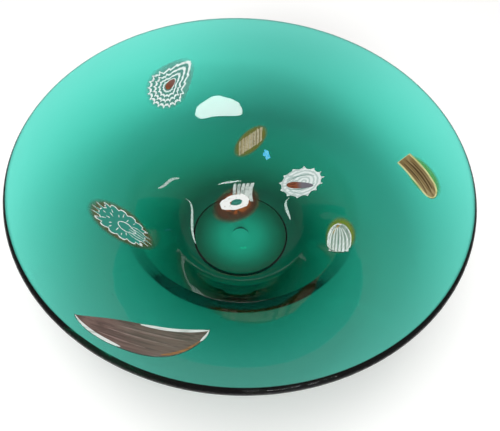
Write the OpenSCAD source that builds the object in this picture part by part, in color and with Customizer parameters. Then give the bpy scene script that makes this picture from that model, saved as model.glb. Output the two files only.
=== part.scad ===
// Blown art glass bowl: a wide flared rim around a deep well, on a flat foot pad.
// Slices of patterned cane (murrine) and white threads are cased between two gathers of glass.
// Millimetres. +Z up; the origin is the centre of the foot's resting face.

/* [Bowl] */
// Diameter over the lip
rim_d = 280; // [230:1:340]
// Height from the table to the top of the lip
bowl_h = 92; // [84:1:112]
// Radius at which the flat floor of the well meets its wall
floor_r = 38; // [34:0.5:46]
// Height of the well's floor above the table
floor_z = 10; // [9:0.5:13]
// Radius of the round between floor and wall
floor_bend = 36; // [24:1:40]
// Radius at which the wall of the well turns out into the flare
shoulder_r = 72; // [66:0.5:87]
// Height of that turn above the table
shoulder_z = 43; // [38:1:52]
// Radius of the round at that turn
shoulder_bend = 20; // [12:1:26]
// Thickness of the rounded lip
lip_t = 4.2; // [3.5:0.1:7]

/* [Outside of the casing] */
// How far the outside of the well's wall stands out beyond the floor's edge
heel_out = 12; // [10:1:20]
// How far that heel is above the top of the foot pad
heel_rise = 3; // [2:0.5:6]
// Radius of the round at the heel
heel_bend = 8; // [4:1:16]
// How far the outside turn stands out beyond the inside turn
turn_out = 10; // [8:1:14]
// How far the outside turn lies below the inside turn
turn_drop = 2; // [1:0.5:5]
// Radius of the round at the outside turn
turn_bend = 20; // [12:1:26]

/* [Foot pad] */
// Radius of the resting face
foot_r = 35; // [28:0.5:42]
// Height of the pad
foot_h = 3; // [2:0.5:4]
// How much wider the pad is at its top than at its resting face
foot_flare = 1; // [0:0.25:2]
// Radius of the pontil hollow in the middle of the resting face
pontil_r = 6.5; // [4:0.5:10]
// Depth of the pontil hollow
pontil_depth = 1; // [0.5:0.1:1.5]

/* [Layers] */
// Thickness of the inner gather
gather_t = 1.2; // [0.8:0.1:2.4]
// Thickness of the cane slices between the gathers
slice_t = 1.3; // [0.8:0.1:1.6]
// Share of a spike's reach that a notch in a star takes away
notch = 0.14; // [0.05:0.01:0.25]

/* [Far star: white zigzag rings round a red-brown core] */
// Direction from the bowl's centre, degrees from +X
far_star_az = 125; // [0:1:360]
// Place on the flare: 0 at the turn, 1 at the lip
far_star_at = 0.48; // [0.4:0.01:0.6]
// Direction of its pointed end, degrees from straight up the slope
far_star_turn = -64; // [-180:1:180]
// Length and width of the outer ring
far_star_size = [45, 28]; // [20:1:50]

/* [Striped cane: cream stripes across an olive rod] */
// Direction from the bowl's centre
striped_cane_az = 87.5; // [0:1:360]
// Place on the wall of the well: 0 at the floor, 1 at the turn
striped_cane_at = 0.8; // [0.4:0.01:1]
// Direction of the rod
striped_cane_turn = -42; // [-180:1:180]
// Length and width of the rod
striped_cane_size = [28, 15]; // [12:1:34]
// Number of stripes
striped_cane_stripes_n = 7; // [3:1:9]

/* [Floor eye: white ring and fan in an amber pool] */
// Direction from the bowl's centre
floor_eye_az = 102; // [0:1:360]
// Place on the floor: 0 at the centre, 1 at its edge
floor_eye_at = 0.62; // [0.5:0.01:0.9]
// Direction of the pool's long axis
floor_eye_turn = -63; // [-180:1:180]
// Length and width of the pool
floor_eye_size = [43, 31]; // [20:1:46]
// Outer radius of the white ring
eye_ring_r = 8.5; // [6:0.5:10]
// Width of the white ring
eye_ring_w = 4; // [2:0.5:5]
// Number of stripes in the fan beside the ring
eye_fan_n = 5; // [3:1:7]

/* [Daisy: dense white petals round a brown core] */
// Direction from the bowl's centre
daisy_az = 38.5; // [0:1:360]
// Place on the wall of the well
daisy_at = 0.56; // [0.4:0.01:0.8]
// Direction of its spiked end
daisy_turn = -36; // [-180:1:180]
// Length and width over the petals
daisy_size = [38, 24]; // [18:1:44]

/* [Beehive: white ribs under a yellow-green cap] */
// Direction from the bowl's centre
beehive_az = -15; // [-180:1:180]
// Place on the wall of the well
beehive_at = 0.93; // [0.5:0.01:1]
// Direction of the cap
beehive_turn = 100; // [-180:1:180]
// Length and width over the cap
beehive_size = [28, 22]; // [14:1:34]
// Number of ribs
beehive_ribs_n = 6; // [4:1:8]

/* [Long cane: olive rod with pale edges] */
// Direction from the bowl's centre
long_cane_az = 4.5; // [-180:0.5:180]
// Place on the flare
long_cane_at = 0.61; // [0.4:0.01:0.7]
// Direction of the rod
long_cane_turn = -72; // [-180:1:180]
// Length and width over the green sleeve
long_cane_size = [44, 15]; // [14:1:50]

/* [Oval star: white zigzag outline on teal glass] */
// Direction from the bowl's centre
oval_star_az = -161; // [-180:1:180]
// Place on the flare
oval_star_at = 0.12; // [0.1:0.01:0.5]
// Direction of its long axis
oval_star_turn = 149; // [-180:1:180]
// Length and width over the brown sleeve
oval_star_size = [51, 29]; // [24:1:56]

/* [Shard: long brown flake with white edges] */
// Direction from the bowl's centre
shard_az = -111; // [-180:1:180]
// Place on the flare
shard_at = 0.7; // [0.5:0.01:0.75]
// Direction of its blunt end
shard_turn = 122; // [-180:1:180]
// Length and width
shard_size = [72, 25]; // [18:1:80]
// Number of pale streaks
shard_streaks_n = 3; // [1:1:4]

/* [Small pieces] */
// Direction of the turquoise chip from the bowl's centre
chip_az = 74.5; // [0:1:360]
// Place of the chip on the wall of the well
chip_at = 0.64; // [0.5:0.01:0.9]
// Radius of the chip
chip_r = 3.4; // [2:0.1:4]
// Widest part of the white threads
thread_w = 1.5; // [1:0.1:2]

/* [Hidden] */

arc_step = 7;          // largest angle between two points of a rounded profile
reach = 12;            // how far a slice's outline is extruded to each side of the layer
over = 0.6;            // how far a pocket's cutter passes the face that it opens
rim_r = rim_d / 2;
lip_r = lip_t / 2;

function dir(a) = [cos(a), sin(a)];
function mix(a, b, share) = a + (b - a) * share;
function heading(from, to) = atan2(to[1] - from[1], to[0] - from[0]);
function reversed(points) = [for (i = [len(points) - 1:-1:0]) points[i]];

// A rounded corner of a profile, moved d towards the outside of the bowl.
function bend(corner, a_in, a_out, r, d = 0) =
    let (s = sign(a_out - a_in), half = (a_out - a_in) / 2,
         centre = corner + s * r / cos(half) * dir((a_in + a_out) / 2 + 90),
         n = ceil(abs(a_out - a_in) / arc_step))
    [for (i = [0:n]) centre - s * (r + s * d) * dir(mix(a_in, a_out, i / n) + 90)];

// Corners of the inside and the outside profile, as [radius, height].
floor_corner = [floor_r, floor_z];
turn = [shoulder_r, shoulder_z];
lip_centre = [rim_r - lip_r, bowl_h - lip_r];
foot_edge = [foot_r + foot_flare, foot_h];
heel = [floor_r + heel_out, foot_h + heel_rise];
outer_turn = [shoulder_r + turn_out, shoulder_z - turn_drop];

// The flare's two faces are tangent to the lip's round.
wall_a = heading(floor_corner, turn);
flare_a = heading(turn, lip_centre) + asin(lip_r / norm(lip_centre - turn));
base_a = heading(foot_edge, heel);
side_a = heading(heel, outer_turn);
under_a = heading(outer_turn, lip_centre) - asin(lip_r / norm(lip_centre - outer_turn));

// The inside profile, moved d into the glass.
function skin(d) = concat(
    [[0, floor_z - d]],
    bend(floor_corner, 0, wall_a, floor_bend, d),
    bend(turn, wall_a, flare_a, shoulder_bend, d),
    [lip_centre + (lip_r - d) * dir(flare_a + 90)]);

outside = concat(
    [[0, foot_h], foot_edge],
    bend(heel, base_a, side_a, heel_bend),
    bend(outer_turn, side_a, under_a, turn_bend),
    [lip_centre - lip_r * dir(under_a + 90)]);

lip_round = let (a0 = flare_a + 90, a1 = under_a - 90, n = ceil((a0 - a1) / 20))
    [for (i = [1:n]) lip_centre + lip_r * dir(mix(a0, a1, i / n))];

// Points of a closed outline: length and width, with the widest place at wide_at along the length.
function oval(size, n = 20, wide_at = 0.5) =
    [for (i = [0:n - 1]) let (a = 360 * (i + 0.5) / n)
        [(cos(a) > 0 ? 2 * (1 - wide_at) : 2 * wide_at) * size[0] / 2 * cos(a), size[1] / 2 * sin(a)]];

// The same with spikes: every second point is drawn in by the notch.
function star(size, spikes, wide_at = 0.5) =
    [for (i = [0:2 * spikes - 1]) let (a = 180 * (i + 0.5) / spikes, s = i % 2 == 0 ? 1 : 1 - notch)
        s * [(cos(a) > 0 ? 2 * (1 - wide_at) : 2 * wide_at) * size[0] / 2 * cos(a), size[1] / 2 * sin(a)]];

// A tapered ribbon along a cubic curve between four handles.
function along(h, t) = pow(1 - t, 3) * h[0] + 3 * t * pow(1 - t, 2) * h[1]
    + 3 * t * t * (1 - t) * h[2] + pow(t, 3) * h[3];
function side_of(h, t) = let (d = along(h, t + 0.01) - along(h, t - 0.01)) [-d[1], d[0]] / norm(d);
function ribbon(h, w, n = 8) = concat(
    [for (i = [0:n]) let (t = i / n) along(h, t) + side_of(h, t) * w / 2 * (0.35 + 0.65 * sin(180 * t))],
    [for (i = [n:-1:0]) let (t = i / n) along(h, t) - side_of(h, t) * w / 2 * (0.35 + 0.65 * sin(180 * t))]);
function polar(az, r) = r * dir(az);

// The layer between the inside profile moved by d0 and by d1.
module layer(d0, d1) rotate_extrude($fn = 96) polygon(concat(skin(d0), reversed(skin(d1))));
module slice_layer() layer(gather_t, gather_t + slice_t);
module pocket_layer() layer(gather_t - over, gather_t + slice_t);

// Stands an outline on the layer at a radius and direction: its +X runs up the slope before the turn.
module stand(az, r, turn_a) {
    face = skin(gather_t);
    slope = atan2(lookup(r + 1, face) - lookup(r - 1, face), 2);
    rotate([0, 0, az]) translate([r, 0, lookup(r, face)]) rotate([0, -slope, 0]) rotate([0, 0, turn_a])
        linear_extrude(2 * reach, center = true) children();
}
module upright() linear_extrude(bowl_h) children();

function on_floor(share) = floor_r * share;
function on_wall(share) = mix(floor_r, shoulder_r, share);
function on_flare(share) = mix(shoulder_r, rim_r, share);

module at_far_star() stand(far_star_az, on_flare(far_star_at), far_star_turn) children();
module at_striped_cane() stand(striped_cane_az, on_wall(striped_cane_at), striped_cane_turn) children();
module at_floor_eye() stand(floor_eye_az, on_floor(floor_eye_at), floor_eye_turn) children();
module at_daisy() stand(daisy_az, on_wall(daisy_at), daisy_turn) children();
module at_beehive() stand(beehive_az, on_wall(beehive_at), beehive_turn) children();
module at_long_cane() stand(long_cane_az, on_flare(long_cane_at), long_cane_turn) children();
module at_oval_star() stand(oval_star_az, on_flare(oval_star_at), oval_star_turn) children();
module at_shard() stand(shard_az, on_flare(shard_at), shard_turn) children();
module at_chip() stand(chip_az, on_wall(chip_at), 0) children();

// Far star: nested zigzag outlines, from the sleeve in to the core.
far_star_wide = 0.42;           // where along its length the star is widest
far_star_spikes = 12;
far_star_ring_in = 0.84;        // inner edge of the outer ring, as a share of the star
far_star_inner_out = 0.62;      // outer and inner edge of the inner ring
far_star_inner_in = 0.48;
far_star_core_size = [8, 4.5];
far_star_core_shift = 2;
sleeve_w = 1.8;
module far_star_level(k) polygon(star(far_star_size * k, far_star_spikes, far_star_wide));
module far_star_outline() polygon(oval(far_star_size + 2 * [sleeve_w, sleeve_w], 20, far_star_wide));
module far_star_core_2d() translate([far_star_core_shift, 0]) polygon(oval(far_star_core_size, 10));

// Striped cane: a rod across which stripes run, with a sleeve that shows at both ends.
cane_sleeve = [3, 1.2];         // how far the sleeve shows at the ends and at the sides
cane_rod_trim = 4;              // how much narrower the rod is than the slice
stripe_slant = 12;
cane_n = 2 * striped_cane_stripes_n + 1;
cane_pitch = striped_cane_size[0] / cane_n;
module striped_cane_outline() polygon(oval(striped_cane_size + 2 * cane_sleeve, 16));
module striped_cane_rod_2d() square(striped_cane_size - [3 * cane_pitch, cane_rod_trim], center = true);
module striped_cane_stripes_2d() intersection() {
    striped_cane_rod_2d();
    for (i = [1:striped_cane_stripes_n - 2]) rotate(stripe_slant)
        translate([(2 * i - striped_cane_stripes_n + 1) * cane_pitch, 0])
            square([cane_pitch, 2 * striped_cane_size[1]], center = true);
}

// Floor eye: ring and fan side by side in the pool.
eye_place = [2.4, 1.9];         // middle of the ring in the pool
eye_squash = [1.1, 0.9];        // length and width of the ring against its radius
fan_span = 1.7;                 // width of the fan against the ring's radius
fan_len = 11;
fan_place = [3, 10.4];          // middle of the fan from the ring, before it leans
fan_lean = 39;
fan_pitch = fan_span * eye_ring_r / (2 * eye_fan_n + 1);
module floor_eye_outline() polygon(oval(floor_eye_size, 20));
module floor_eye_ring_2d(r) translate(eye_place) polygon(oval(2 * r * eye_squash, 14));
module floor_eye_fan_2d() difference() {
    for (i = [0:eye_fan_n - 1])
        translate(eye_place) rotate(-fan_lean)
            translate(fan_place + [(2 * i - eye_fan_n + 1) * fan_pitch, 0])
                square([fan_pitch, fan_len], center = true);
    floor_eye_ring_2d(eye_ring_r);
}

// Daisy: petals cut by darker ground lines that run along it.
daisy_spikes = 14;
daisy_wide = 0.55;
daisy_core_size = [16, 4.4];
daisy_core_place = [-7, -1];
daisy_line_w = 1.6;
daisy_line_end = 0.36 * daisy_size[0];
module daisy_outline() polygon(star(daisy_size, daisy_spikes, daisy_wide));
module daisy_core_2d() translate(daisy_core_place) polygon(oval(daisy_core_size, 12));
module daisy_lines_2d() difference() {
    for (side = [-1, 1]) polygon(ribbon([[-daisy_line_end, 0], [-4, 10 * side], [8, 9 * side],
        [daisy_line_end, 2 * side]], daisy_line_w));
    daisy_core_2d();
}

// Beehive: ribs that run towards the cap.
cap_w = 2.2;
beehive_wide = 0.42;
rib_pitch = (beehive_size[1] - 2 * cap_w) / (2 * beehive_ribs_n + 1);
module beehive_outline() polygon(oval(beehive_size, 18, beehive_wide));
module beehive_body_2d() translate([-cap_w / 2, 0])
    polygon(oval(beehive_size - 2 * [cap_w, cap_w], 18, beehive_wide));
module beehive_ribs_2d() intersection() {
    beehive_body_2d();
    for (i = [0:beehive_ribs_n - 1]) translate([0, (2 * i - beehive_ribs_n + 1) * rib_pitch])
        square([beehive_size[0], rib_pitch], center = true);
}

// Long cane: a rod between two pale edges, inside a green sleeve.
cane_edge_w = 1.3;
cane_body_size = long_cane_size - [4, 5];
cane_line = [0.62 * long_cane_size[0], 1];
cane_line_off = 1.7;            // how far the dark lines are from the rod's middle
module long_cane_outline() polygon(oval(long_cane_size, 20));
module long_cane_body_2d() polygon(oval(cane_body_size, 16));
module long_cane_edges_2d() difference() {
    long_cane_body_2d();
    polygon(oval(cane_body_size - 2 * [cane_edge_w, cane_edge_w], 16));
}
module long_cane_lines_2d() for (side = [-1, 1]) translate([0, side * cane_line_off])
    square(cane_line, center = true);

// Oval star: outline, ring of dashes and inner loop on teal ground.
oval_sleeve = [3, 3];           // how far the brown sleeve shows round the star
oval_spikes = 13;
oval_line_in = 0.9;             // inner edge of the white outline, as a share of the star
dash_n = 12;
dash = [3, 1];
dash_place = 0.27 * oval_star_size;
loop_shift = 4;
loop_out = [14, 7.5];
loop_in = [11, 5];
module oval_star_outline_2d() polygon(oval(oval_star_size, 20));
module oval_star_level(k) polygon(star((oval_star_size - 2 * oval_sleeve) * k, oval_spikes));
module oval_star_dashes_2d() for (i = [0:dash_n - 1]) let (a = 360 * (i + 0.5) / dash_n)
    translate([dash_place[0] * cos(a), dash_place[1] * sin(a)]) rotate(a) square(dash, center = true);
module oval_star_loop_2d() translate([loop_shift, 0]) difference() {
    polygon(oval(loop_out, 12));
    polygon(oval(loop_in, 12));
}

// Shard: pointed at one end, with a nearly straight far side and a convex near side.
shard_l = shard_size[0];
shard_w = shard_size[1];
edge_w = 1.5;
shard_straight = 0.42 * shard_w;     // how far the far side is from the middle line
shard_sag = 0.9;                     // how much the far side is hollowed in
shard_tip = 5;                       // how much faster an inset shortens the pointed end
shard_blunt = 1.5;                   // and the blunt end
streak_w = 1.2;
streak_len = 0.46 * shard_l;
function bulge(t) = pow(sin(180 * pow(t, 0.9)), 0.8);
function shard_points(inset) =
    let (x0 = -shard_l / 2 + shard_tip * inset, x1 = shard_l / 2 - shard_blunt * inset)
    concat(
        [for (i = [0:4]) let (t = i / 4)
            [mix(x0, x1, t), shard_straight - inset - 4 * shard_sag * t * (1 - t)]],
        [for (i = [1:7]) let (t = i / 8)
            [mix(x1, x0, t), shard_straight - inset - (shard_w - 2 * inset) * bulge(t)]]);
module shard_outline() polygon(shard_points(0));
module shard_inner_2d() polygon(shard_points(edge_w));
module shard_amber_2d() intersection() {
    difference() { shard_outline(); shard_inner_2d(); }
    translate([shard_l / 8, -1.1 * shard_w]) square([shard_l / 3, shard_w]);
}
module shard_streaks_2d() for (i = [0:shard_streaks_n - 1])
    translate([0.06 * shard_l, shard_straight - shard_w * (0.3 + 0.5 * i / shard_streaks_n)])
        square([streak_len * (1 - 0.17 * i), streak_w], center = true);

chip_points = 5;
module chip_2d() polygon(star([2.6 * chip_r, 2 * chip_r], chip_points));

// Handles of the threads, as directions and distances from the floor's edge.
module thread_at(handles) upright()
    polygon(ribbon([for (h = handles) polar(h[0], floor_r + h[1])], thread_w));
module left_thread_3d() thread_at([[155, 9], [148, 1], [178, 1], [204, -3.5]]);
module right_thread_3d() thread_at([[41, 5], [38, 2], [33, 3], [26, 1.5]]);
module upper_thread_3d() thread_at([[165, 25], [158, 21], [154, 24], [147, 19]]);

module murrine_outlines() {
    at_far_star() far_star_outline();
    at_striped_cane() striped_cane_outline();
    at_floor_eye() { floor_eye_outline(); floor_eye_fan_2d(); }
    at_daisy() daisy_outline();
    at_beehive() beehive_outline();
    at_long_cane() long_cane_outline();
    at_oval_star() oval_star_outline_2d();
    at_shard() shard_outline();
    at_chip() chip_2d();
    left_thread_3d();
    right_thread_3d();
    upper_thread_3d();
}

glass = "MediumSeaGreen";

module inner_gather() color(glass, 0.5)
    rotate_extrude($fn = 96) polygon(concat(skin(0), lip_round, reversed(skin(gather_t))));

module outer_casing() color("SeaGreen", 0.5) difference() {
    rotate_extrude($fn = 96) polygon(concat(skin(gather_t), reversed(outside)));
    intersection() { pocket_layer(); murrine_outlines(); }
}

module foot_pad() color("DarkGreen", 0.6) difference() {
    cylinder(h = foot_h, r1 = foot_r, r2 = foot_r + foot_flare, $fn = 96);
    pontil_ball = (pontil_r * pontil_r + pontil_depth * pontil_depth) / (2 * pontil_depth);
    translate([0, 0, pontil_depth - pontil_ball]) sphere(r = pontil_ball, $fn = 96);
}

module far_star_sleeve() color("DarkCyan") intersection() {
    slice_layer();
    at_far_star() difference() { far_star_outline(); far_star_level(1); }
}
module far_star_outer_ring() color("White") intersection() {
    slice_layer();
    at_far_star() difference() { far_star_level(1); far_star_level(far_star_ring_in); }
}
module far_star_ground() color("Teal") intersection() {
    slice_layer();
    at_far_star() {
        difference() { far_star_level(far_star_ring_in); far_star_level(far_star_inner_out); }
        difference() { far_star_level(far_star_inner_in); far_star_core_2d(); }
    }
}
module far_star_inner_ring() color("WhiteSmoke") intersection() {
    slice_layer();
    at_far_star() difference() { far_star_level(far_star_inner_out); far_star_level(far_star_inner_in); }
}
module far_star_core() color("SaddleBrown") intersection() {
    slice_layer();
    at_far_star() far_star_core_2d();
}

module striped_cane_sleeve() color("YellowGreen") intersection() {
    slice_layer();
    at_striped_cane() difference() { striped_cane_outline(); striped_cane_rod_2d(); }
}
module striped_cane_rod() color("Olive") intersection() {
    slice_layer();
    at_striped_cane() difference() { striped_cane_rod_2d(); striped_cane_stripes_2d(); }
}
module striped_cane_stripes() color("Ivory") intersection() {
    slice_layer();
    at_striped_cane() striped_cane_stripes_2d();
}

module floor_eye_pool() color("SaddleBrown") intersection() {
    slice_layer();
    at_floor_eye() difference() {
        floor_eye_outline();
        floor_eye_ring_2d(eye_ring_r);
        floor_eye_fan_2d();
    }
}
module floor_eye_ring() color("White") intersection() {
    slice_layer();
    at_floor_eye() difference() { floor_eye_ring_2d(eye_ring_r); floor_eye_ring_2d(eye_ring_r - eye_ring_w); }
}
module floor_eye_centre() color("Teal") intersection() {
    slice_layer();
    at_floor_eye() floor_eye_ring_2d(eye_ring_r - eye_ring_w);
}
module floor_eye_fan() color("LightGray") intersection() {
    slice_layer();
    at_floor_eye() floor_eye_fan_2d();
}

module daisy_petals() color("White") intersection() {
    slice_layer();
    at_daisy() difference() { daisy_outline(); daisy_lines_2d(); daisy_core_2d(); }
}
module daisy_ground() color("CadetBlue") intersection() {
    slice_layer();
    at_daisy() daisy_lines_2d();
}
module daisy_core() color("Sienna") intersection() {
    slice_layer();
    at_daisy() daisy_core_2d();
}

module beehive_cap() color("YellowGreen") intersection() {
    slice_layer();
    at_beehive() difference() { beehive_outline(); beehive_body_2d(); }
}
module beehive_ground() color("Goldenrod") intersection() {
    slice_layer();
    at_beehive() difference() { beehive_body_2d(); beehive_ribs_2d(); }
}
module beehive_ribs() color("White") intersection() {
    slice_layer();
    at_beehive() beehive_ribs_2d();
}

module long_cane_sleeve() color("OliveDrab") intersection() {
    slice_layer();
    at_long_cane() difference() { long_cane_outline(); long_cane_body_2d(); }
}
module long_cane_edges() color("LemonChiffon") intersection() {
    slice_layer();
    at_long_cane() long_cane_edges_2d();
}
module long_cane_rod() color("Olive") intersection() {
    slice_layer();
    at_long_cane() difference() { long_cane_body_2d(); long_cane_edges_2d(); long_cane_lines_2d(); }
}
module long_cane_lines() color("SaddleBrown") intersection() {
    slice_layer();
    at_long_cane() long_cane_lines_2d();
}

module oval_star_sleeve() color("DarkOliveGreen") intersection() {
    slice_layer();
    at_oval_star() difference() { oval_star_outline_2d(); oval_star_level(1); }
}
module oval_star_outline() color("White") intersection() {
    slice_layer();
    at_oval_star() difference() { oval_star_level(1); oval_star_level(oval_line_in); }
}
module oval_star_ground() color("Teal") intersection() {
    slice_layer();
    at_oval_star() difference() { oval_star_level(oval_line_in); oval_star_dashes_2d(); oval_star_loop_2d(); }
}
module oval_star_dashes() color("WhiteSmoke") intersection() {
    slice_layer();
    at_oval_star() oval_star_dashes_2d();
}
module oval_star_loop() color("White") intersection() {
    slice_layer();
    at_oval_star() oval_star_loop_2d();
}

module shard_body() color("RosyBrown") intersection() {
    slice_layer();
    at_shard() difference() { shard_inner_2d(); shard_streaks_2d(); }
}
module shard_edges() color("White") intersection() {
    slice_layer();
    at_shard() difference() { shard_outline(); shard_inner_2d(); shard_amber_2d(); }
}
module shard_streaks() color("Thistle") intersection() {
    slice_layer();
    at_shard() shard_streaks_2d();
}
module shard_amber_edge() color("Chocolate") intersection() {
    slice_layer();
    at_shard() shard_amber_2d();
}

module turquoise_chip() color("DeepSkyBlue") intersection() { slice_layer(); at_chip() chip_2d(); }
module left_thread() color("White") intersection() { slice_layer(); left_thread_3d(); }
module right_thread() color("White") intersection() { slice_layer(); right_thread_3d(); }
module upper_thread() color("White") intersection() { slice_layer(); upper_thread_3d(); }

inner_gather();
outer_casing();
foot_pad();
far_star_sleeve();
far_star_outer_ring();
far_star_ground();
far_star_inner_ring();
far_star_core();
striped_cane_sleeve();
striped_cane_rod();
striped_cane_stripes();
floor_eye_pool();
floor_eye_ring();
floor_eye_centre();
floor_eye_fan();
daisy_petals();
daisy_ground();
daisy_core();
beehive_cap();
beehive_ground();
beehive_ribs();
long_cane_sleeve();
long_cane_edges();
long_cane_rod();
long_cane_lines();
oval_star_sleeve();
oval_star_outline();
oval_star_ground();
oval_star_dashes();
oval_star_loop();
shard_body();
shard_edges();
shard_streaks();
shard_amber_edge();
turquoise_chip();
left_thread();
right_thread();
upper_thread();
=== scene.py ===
from math import asin, atan2, ceil, cos, degrees, pi, radians, sin, tau

import bmesh
import bpy
from bpy.props import FloatProperty, FloatVectorProperty, PointerProperty
from mathutils import Matrix, Vector


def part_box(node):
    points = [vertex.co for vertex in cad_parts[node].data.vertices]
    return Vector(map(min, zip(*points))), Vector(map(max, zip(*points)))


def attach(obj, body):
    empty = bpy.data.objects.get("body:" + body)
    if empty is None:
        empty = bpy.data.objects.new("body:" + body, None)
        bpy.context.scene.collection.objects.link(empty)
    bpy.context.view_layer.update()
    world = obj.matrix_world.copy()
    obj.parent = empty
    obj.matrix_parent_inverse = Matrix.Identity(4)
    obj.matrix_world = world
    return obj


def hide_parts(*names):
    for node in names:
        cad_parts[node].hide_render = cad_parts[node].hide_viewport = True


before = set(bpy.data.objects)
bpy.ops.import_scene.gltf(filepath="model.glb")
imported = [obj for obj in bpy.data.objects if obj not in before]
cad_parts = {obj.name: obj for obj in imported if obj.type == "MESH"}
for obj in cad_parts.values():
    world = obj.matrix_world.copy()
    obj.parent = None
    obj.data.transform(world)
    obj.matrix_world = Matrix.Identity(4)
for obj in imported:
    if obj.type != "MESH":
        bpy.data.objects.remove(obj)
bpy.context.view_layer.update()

bl_info = {
    "name": "Cased glass bowl",
    "version": (1, 0, 0),
    "blender": (4, 5, 0),
    "location": "3D View > Sidebar > Bowl",
    "description": "Builds a blown glass bowl with patterned cane slices cased in its wall",
    "category": "Object",
}

MM = 0.001

RIM_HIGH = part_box("inner_gather")[1]
PAD_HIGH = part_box("foot_pad")[1]
RIM_RADIUS = max(RIM_HIGH.x, RIM_HIGH.y)
BOWL_HEIGHT = RIM_HIGH.z
BODY_STEPS = 240              # flats round the bowl's body
LIP_STEPS = 20                # flats over the lip
BODY_JOIN_WITHIN = 0.02 * MM  # points of the body closer than this are one point
FOOT_EDGE_BEND = 2.2 * MM     # radius of the round at the foot's edge
FOOT_EDGE_IN = 0.4 * MM       # how far that round lies in from the foot's side
PONTIL_STEP_RUN = 0.5 * MM    # how far the step of the hollow under the foot leans in
LIFT = 14 * MM                # how far above the face a flat piece is held before it is laid on it
PROUD = 0.06 * MM             # how far the lowest cane glass stands out of the face
LEVEL = 0.05 * MM             # how far each kind of cane glass lies above the one under it
THICK = 1.1 * MM              # thickness of the cane glass
JOIN_WITHIN = 0.01 * MM       # points of a slice closer than this are one point
GRID = 1.3                    # size of the squares in a block of glass, in millimetres
TABLE_SIZE = 8                # side of the table, in metres
TABLE_DROP = 0.2 * MM         # how far the table's face lies under the foot
AIM_BELOW_RIM = 2 * MM        # how far under the rim the camera aims

# Colours that more than one slice has, in linear light.
WHITE = (0.84, 0.90, 0.88)
SHADE = (0.20, 0.34, 0.31)

# The table's own light under the bowl, with a painted shadow and painted teal light in it, by distance from
# the foot's middle: (share of the reach, colour).
# The stops are tuned for the depth of colour in the glass as the camera sees it. They stand in for
# a cast shadow and are not worked out from the lamps.
SHADOW_REACH = 200 * MM
SHADOW_UNDER_BOWL = ((0.0, (1.0, 1.0, 0.97)), (0.06, (0.85, 0.9, 0.87)), (0.12, (0.32, 0.38, 0.35)),
                     (0.17, (0.1, 0.14, 0.12)), (0.24, (0.02, 0.04, 0.035)), (0.33, (0.2, 0.27, 0.24)),
                     (0.42, (0.43, 0.5, 0.47)), (0.52, (0.58, 0.6, 0.58)), (0.66, (0.55, 0.547, 0.54)))
SHADE_BEHIND = Vector((30, 190, 0)) * MM    # middle of a second tuned shade, behind the bowl
SHADE_WIDTH = 150 * MM                      # how far that shade reaches

# ---------------------------------------------------------------------------------------------
# Settings that a user would change
# ---------------------------------------------------------------------------------------------

def distance(name, description, value):
    """A length property, given in millimetres."""
    return FloatProperty(name=name, description=description, default=value * MM, min=0, unit="LENGTH",
                         subtype="DISTANCE", precision=5)


def angle(name, description, value):
    """An angle property, given in degrees."""
    return FloatProperty(name=name, description=description, default=radians(value), unit="ROTATION",
                         subtype="ANGLE")


def colour(name, description, value):
    """A colour property in linear light."""
    return FloatVectorProperty(name=name, description=description, default=value, size=3, min=0, max=1,
                               subtype="COLOR")


def amount(name, description, value):
    """A plain number property."""
    return FloatProperty(name=name, description=description, default=value)


class BowlForm(bpy.types.PropertyGroup):
    """The profile of the bowl. The rim, the height and the foot come from the CAD parts in model.glb."""
    floor_radius: distance("Floor radius", "Where the well's flat floor meets its wall", 38)
    floor_height: distance("Floor height", "The well's floor above the table", 10)
    floor_bend: distance("Floor bend", "Radius of the round between floor and wall", 36)
    turn_radius: distance("Turn radius", "Where the wall turns out into the flare", 72)
    turn_height: distance("Turn height", "That turn above the table", 43)
    turn_bend: distance("Turn bend", "Radius of the round at the turn", 20)
    lip: distance("Lip", "Thickness of the rounded lip", 4.2)
    heel_out: distance("Heel out", "How far the outside stands out beyond the floor's edge", 12)
    heel_rise: distance("Heel rise", "How far the heel is above the foot pad", 3)
    heel_bend: distance("Heel bend", "Radius of the round at the heel", 8)
    turn_out: distance("Outer turn out", "How far the outside turn stands out beyond the inside one", 10)
    turn_drop: distance("Outer turn drop", "How far the outside turn lies below the inside one", 2)
    pontil_radius: distance("Pontil radius", "Radius of the hollow under the foot", 6.5)
    pontil_depth: distance("Pontil depth", "Depth of the hollow under the foot", 1)


class GlassLook(bpy.types.PropertyGroup):
    """The bowl's glass and what light does in it."""
    ior: amount("IOR", "How much the glass bends light", 1.5)
    density: amount("Density", "How fast the glass takes out red light, per metre", 410)
    tint: colour("Tint", "What the glass lets pass, as its volume's colour", (0.0, 0.851, 0.757))
    tool_rings: amount("Tool rings", "Height of the rings that the tools leave, against the waves", 0.5)
    seeds: amount("Seeds", "How many seeds in a metre of glass", 55.0)


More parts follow.
